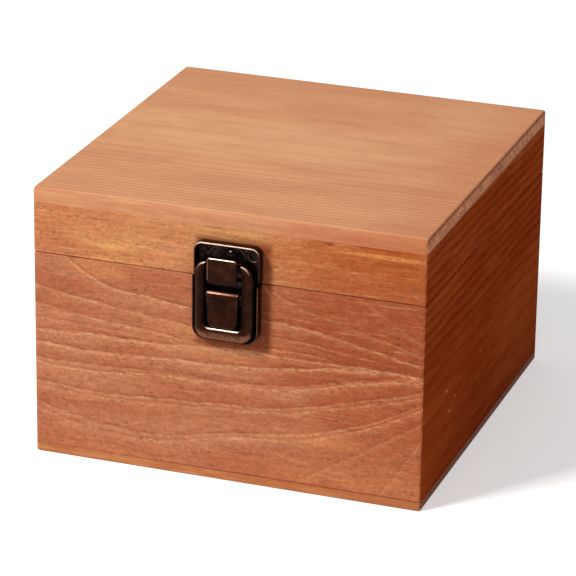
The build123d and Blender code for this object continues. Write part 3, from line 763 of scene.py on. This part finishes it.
# an outline is its half width, low, high and the rounding of its low and its high corners
ring = dict(
    outline=(ringTo[0] - 0.1, ringFrom[1], ringTo[1] - 0.6, 5.6, 5.6), window=(8.15, -19.9, 7.6, 2.4, 2.4), aside=-0.2,
    back=ringFrom[2], front=ringTo[2], saddleHalf=7.0, saddleEnd=8.1, saddleFront=3.6, topFrom=3.0, channelFloor=0.15,
    # the lower bar is lighter and browner
    barFrom=-18.6, barTint=0.5, barFlatter=0.6)

# the ring's section from its inner wall to its outer one: share of the way out, height share of the depth, painted
# highlight at the inner lip, painted highlight at the outer shoulder and painted shade in its hollows (below zero,
# light)
ringSection = [
    (0.0, 0.0, 0, 0, 0.8), (0.0, 0.5, 0, 0, 0.8), (0.0, 0.8, 0.2, 0, 0.7), (0.012, 0.89, 0.8, 0, 0.6),
    (0.04, 0.95, 1, 0, 0.5), (0.085, 0.985, 1, 0, 0.5), (0.13, 0.995, 0.4, 0, 0.55), (0.22, 1.0, 0, 0, 0.5),
    (0.34, 0.995, 0, 0.05, 0.3), (0.46, 0.985, 0, 0.15, 0.15), (0.57, 0.96, 0, 0.5, 0.0), (0.67, 0.92, 0, 1, -0.15),
    (0.77, 0.86, 0, 0.8, -0.1), (0.87, 0.77, 0, 0.2, 0.0), (0.95, 0.64, 0, 0, 0.1), (0.99, 0.48, 0, 0, 0.2),
    (1.0, 0.33, 0, 0, 0.4), (1.0, 0.06, 0, 0, 0.7), (0.97, 0.0, 0, 0, 0.8), (0.86, 0.0, 0, 0, 0.8),
    (0.8, 0.6, 0, 0, 0.8), (0.14, 0.78, 0, 0, 0.8), (0.14, 0.0, 0, 0, 0.8),
]
channelStart = 19  # from here on the section runs through the hollow at the back


def makeRing():
    # point = inner outline + share * (outer outline - inner outline), at a height that drops into a saddle for the hook
    outer, inner = (roundedOutline(*ring[key], 60, 60) for key in ("outline", "window"))
    spots = np.arange(len(ringSection) + 1)
    fine = np.linspace(0, len(ringSection), 3 * len(ringSection), endpoint=False)
    columns = np.array(ringSection + ringSection[:1]).T
    share, level, lipHighlight, shoulderHighlight, hollow = (np.interp(fine, spots, column) for column in columns)
    flat = inner[:, None] + (outer - inner)[:, None] * share[None, :, None]
    bar = soft(flat[..., 1], ring["barFrom"] - 4.5, ring["barFrom"] + 1.5) * (fine < channelStart)
    flatter = (share > 0.2) * (1 - level) * ring["barFlatter"] * soft(share, 0.8, 1.0)  # the lower bar is less round
    height = (ring["front"] - ring["back"]) * (level + flatter * bar)
    step = 1 - soft(np.abs(flat[..., 0]), ring["saddleHalf"], ring["saddleEnd"])
    saddle = ring["saddleFront"] - ring["back"] + (ring["front"] - ring["saddleFront"]) * step
    height = np.where(flat[..., 1] > ring["topFrom"], np.minimum(height, saddle), height)
    filled = 1 - soft(flat[..., 1], ring["topFrom"] - 2.0, ring["topFrom"])
    floor = np.minimum(height, ring["channelFloor"])
    height = np.where(fine > channelStart, height + (floor - height) * filled, height)
    up = facingUp(outer)[:, None]
    # painted highlight on the lower bar's inner lip and the upward shoulders, painted shade in the hollows
    wearAndLighting = lipHighlight * np.clip(-up, 0, 1) ** 2 + shoulderHighlight * np.clip(up, 0.08, 1)
    wearAndLighting = wearAndLighting + (ring["barTint"] + hollow) * bar - hollow
    points = np.concatenate((flat + (ring["aside"], 0.0), ring["back"] + height[..., None]), -1)
    shell = tube(np.concatenate((points, points[:1])), np.concatenate((wearAndLighting, wearAndLighting[:1])))
    count = points.shape[0] * points.shape[1]
    faces = [[corner % count for corner in face] for face in shell["faces"][:-2]]
    return {"points": points.reshape(-1, 3), "faces": faces, "wearAndLighting": shell["wearAndLighting"][:count]}


makePiece("latch_ring_pressed", "ring", "antique_bronze", [makeRing()], ["latch_ring"])
print("ring pressed")


# the lever

leverFrom, leverTo = latchPlace("latch_lever")
# the roll gets a painted highlight along its top, and the middle of the face painted shade
lever = dict(
    aside=-0.22, half=leverTo[0], endHalf=leverTo[0] - 0.5, low=leverFrom[1], corner=2.6, edge=0.7, back=3.7,
    front=leverTo[2] + 0.7, sheet=0.7, axisHeight=-5.3, rollRadius=1.65, rollOut=5.1, rollHighlight=0.78,
    ringAxisHeight=-8.332, ringAxisOut=3.955, lobeRadius=1.49, edgeWear=0.3, faceShade=-0.42)


def leverOutline(inset):
    # a rounded oblong whose half width narrows evenly from the ring's axis down to endHalf
    corner = max(lever["corner"] - inset, 0.4)
    low, high = lever["low"] + inset, lever["axisHeight"] - inset * 0.5
    outline = roundedOutline(lever["half"] - inset, low, high, corner, 0.3)
    share = np.clip((outline[:, 1] - lever["low"]) / (lever["ringAxisHeight"] - lever["low"]), 0, 1)
    taper = lever["endHalf"] / lever["half"]
    return outline * np.column_stack((taper + (1 - taper) * share, np.ones(len(outline))))


sheet, back, front = (lever[key] for key in ("sheet", "back", "front"))
leverLevels = [(3.0, front - sheet, 0.0), (sheet, front - sheet - 0.2, 0.0), (sheet, back + 0.1, 0.0),
               (sheet * 0.8, back, 0.1), (0.1, back, 0.1), (0.0, back + 0.1, 0.1)]
leverLevels += roundedEdge(lever["edge"], front, lever["edgeWear"])
leverLevels += [(1.6, front + 0.02, lever["faceShade"]), (3.4, front + 0.03, lever["faceShade"])]
rollCentre, lobeCentre = (lever["axisHeight"], lever["rollOut"]), (lever["ringAxisHeight"], lever["ringAxisOut"])
leverShells = [stack(leverOutline, leverLevels),
               barrel(-lever["half"], lever["half"], lever["rollRadius"], 0.35, rollCentre, lever["rollHighlight"])]
for lobeLow in (-lever["half"], lever["half"] - sheet):
    leverShells.append(barrel(lobeLow, lobeLow + sheet, lever["lobeRadius"], 0.1, lobeCentre))
for shell in leverShells:
    shell["points"] = shell["points"] + (lever["aside"], 0.0, 0.0)
makePiece("latch_lever_pressed", "lever", "antique_bronze", leverShells, ["latch_lever"])
print("lever pressed")


# screws and the tack

screwLook = dict(
    head=2.2, crown=0.12, headDepth=1.4, shank=1.05, slotLong=1.35, slotHalf=0.24, slotDepth=0.7, sunk=0.12, sides=56,
    edgeWear=0.25)


def screwShell(length, turn):
    # rings of points: a low crown with a cross cut into it, then the cone under the head and the shank
    look = screwLook
    around = np.linspace(0, 2 * math.pi, look["sides"], endpoint=False)
    radii = np.concatenate((np.linspace(0.06, look["head"] - 0.15, 20), (look["head"] - 0.03, look["head"])))
    drop = np.concatenate((look["crown"] * (1 - (radii[:-2] / look["head"]) ** 2), (-0.02, -0.12)))
    x, y = radii[:, None] * np.cos(around), radii[:, None] * np.sin(around)
    alongSlot, acrossSlot = x * math.cos(turn) + y * math.sin(turn), y * math.cos(turn) - x * math.sin(turn)
    far, half = look["slotLong"], look["slotHalf"]
    arms = [soft(np.abs(a), far - 0.35, far) * soft(np.abs(b), half * 0.7, half * 1.4)
            for a, b in ((alongSlot, acrossSlot), (acrossSlot, alongSlot))]
    height = drop[:, None] - look["slotDepth"] * np.maximum(*arms)
    rows = [np.stack((x, y, height), -1)]
    for radius, level in ((look["shank"], -look["headDepth"]), (look["shank"], -length + 1.5), (0.15, -length)):
        rows.append(np.stack((radius * np.cos(around), radius * np.sin(around), np.full(len(around), level)), -1)[None])
    points = np.concatenate(rows)
    wearAndLighting = np.zeros(points.shape[:2])
    wearAndLighting[16:21] = look["edgeWear"]
    return tube(points, wearAndLighting)


def makeScrews(nodeName, body, outward):
    # one screw at each end of the node's box, its head a little under the plate's face and its cross turned its own way
    low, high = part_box(nodeName)
    radius = (high.z - low.z) / 2
    face = low.y if outward < 0 else high.y
    shells = []
    for order, x in enumerate((low.x + radius, high.x - radius)):
        shell = screwShell((high.y - low.y) / millimetre - 0.2, 0.4 + 1.1 * order + 7.0 * low.x / millimetre)
        across, up, out = (shell["points"] * millimetre).T
        sunk = screwLook["sunk"] * millimetre
        shell["points"] = np.column_stack((x - outward * across, face + outward * (out - sunk), low.z + radius + up))
        shells.append(shell)
    makePiece(nodeName + "_turned", body, "fixing_metal", shells, [nodeName], lambda points: points)


for nodeName in list(nodes):
    if nodeName.endswith("_screws"):
        onLid = "lid" in nodeName or "strike" in nodeName
        makeScrews(nodeName, "lid" if onLid else "case", 1 if "hinge" in nodeName else -1)

tack = dict(radius=1.25, height=0.62, foot=plate["sheet"] - 0.1, shank=0.5, length=4.8, wearAndLighting=1.2)


def tackOutline(inset):  # a circle
    around = np.linspace(0, 2 * math.pi, 40, endpoint=False)
    circle = (tack["radius"] - inset) * np.column_stack((np.cos(around), np.sin(around)))
    return circle + (strike["tackSide"], strike["tackHeight"])


shankInset = tack["radius"] - tack["shank"]
tackLevels = [(shankInset, tack["foot"] - tack["length"] + 0.1, 0.0), (shankInset, tack["foot"] - 0.05, 0.0)]
# the crown's value is a painted glint at its top
tackLevels += [(tack["radius"] * (1 - math.cos(a)), tack["foot"] + tack["height"] * math.sin(a),
                tack["wearAndLighting"] * math.sin(a) ** 6) for a in np.linspace(0, 1.5, 10)]
makePiece("strike_tack_domed", "lid", "fixing_metal", [stack(tackOutline, tackLevels, 1.0)], ["strike_tack"])
print("screws and tack made")


# the floor, backdrop, lights and camera

# a lamp is its name, place, power and size
stage = dict(
    floorReach=6.0, floorColour=rgb(246, 246, 246), floorGlow=0.42, ambient=0.31,
    lamps=(("key", (-1.1, -1.35, 1.75), 46.0, 0.5), ("fill", (0.3, -2.2, 0.8), 5.0, 1.2)))


def seenDirectly(tree):  # 1 for the camera, mirrors and glass
    path = addNode(tree, "LightPath")
    seen = Wire(tree, path.outputs["Is Camera Ray"]).most(Wire(tree, path.outputs["Is Glossy Ray"]))
    return seen.most(Wire(tree, path.outputs["Is Transmission Ray"]))


def makeFloor(settings):
    reach = settings["floorReach"]
    mesh = bpy.data.meshes.new("floor")
    corners = [(x * reach, y * reach, 0) for x, y in ((-1, -1), (1, -1), (1, 1), (-1, 1))]
    mesh.from_pydata(corners, [], [(0, 1, 2, 3)])
    material, tree, shader = newMaterial("floor_white")
    shader.inputs["Base Color"].default_value = settings["floorColour"]
    shader.inputs["Roughness"].default_value = 0.9
    shader.inputs["Specular IOR Level"].default_value = 0.1
    shader.inputs["Emission Color"].default_value = (1, 1, 1, 1)
    plug(tree, seenDirectly(tree) * settings["floorGlow"], shader.inputs["Emission Strength"])
    mesh.materials.append(material)
    floor = addObject("floor", mesh)


def makeWorld(strength):
    world = bpy.data.worlds.new("studio")
    bpy.context.scene.world = world
    world.use_nodes = True
    tree = world.node_tree
    tree.nodes.clear()
    background = addNode(tree, "Background", (1, 1, 1, 1), seenDirectly(tree) * (1.0 - strength) + strength)
    addNode(tree, "OutputWorld", background.outputs[0])


def makeAreaLight(name, place, power, size, target):
    light = bpy.data.lights.new(name, "AREA")
    light.energy = power
    light.size = size
    lamp = addObject(name, light)
    lamp.location = place
    lamp.rotation_euler = (Vector(target) - Vector(place)).to_track_quat("-Z", "Y").to_euler()


# the view that the box's seven visible corners agree with, its distances in box heights
view = dict(
    azimuth=19.18, elevation=21.54, roll=0.85, distance=12.4, aside=0.024, below=0.423, focalLength=209.6, sensor=36.0)


def makeCamera(settings, height):
    azimuth, elevation, roll = (math.radians(settings[key]) for key in ("azimuth", "elevation", "roll"))
    level = Vector((math.cos(azimuth), math.sin(azimuth), 0))
    away = Vector((math.sin(azimuth), -math.cos(azimuth), 0))
    back = away * math.cos(elevation) + Vector((0, 0, math.sin(elevation)))
    upright = back.cross(level)
    right = level * math.cos(roll) + upright * math.sin(roll)
    up = upright * math.cos(roll) - level * math.sin(roll)
    data = bpy.data.cameras.new("camera")
    data.lens = settings["focalLength"]
    data.sensor_width = settings["sensor"]
    data.clip_start = 0.05
    camera = addObject("camera", data)
    place = (up * settings["below"] - right * settings["aside"] + back * settings["distance"]) * height
    camera.matrix_world = Matrix.Translation(place) @ Matrix((right, up, back)).transposed().to_4x4()
    bpy.context.scene.camera = camera


makeFloor(stage)
makeWorld(stage["ambient"])
for lamp in stage["lamps"]:
    makeAreaLight(*lamp, (0, 0, boxHeight / 2))
makeCamera(view, boxHeight)
bpy.context.scene.view_settings.view_transform = "Standard"
print("stage and camera set")
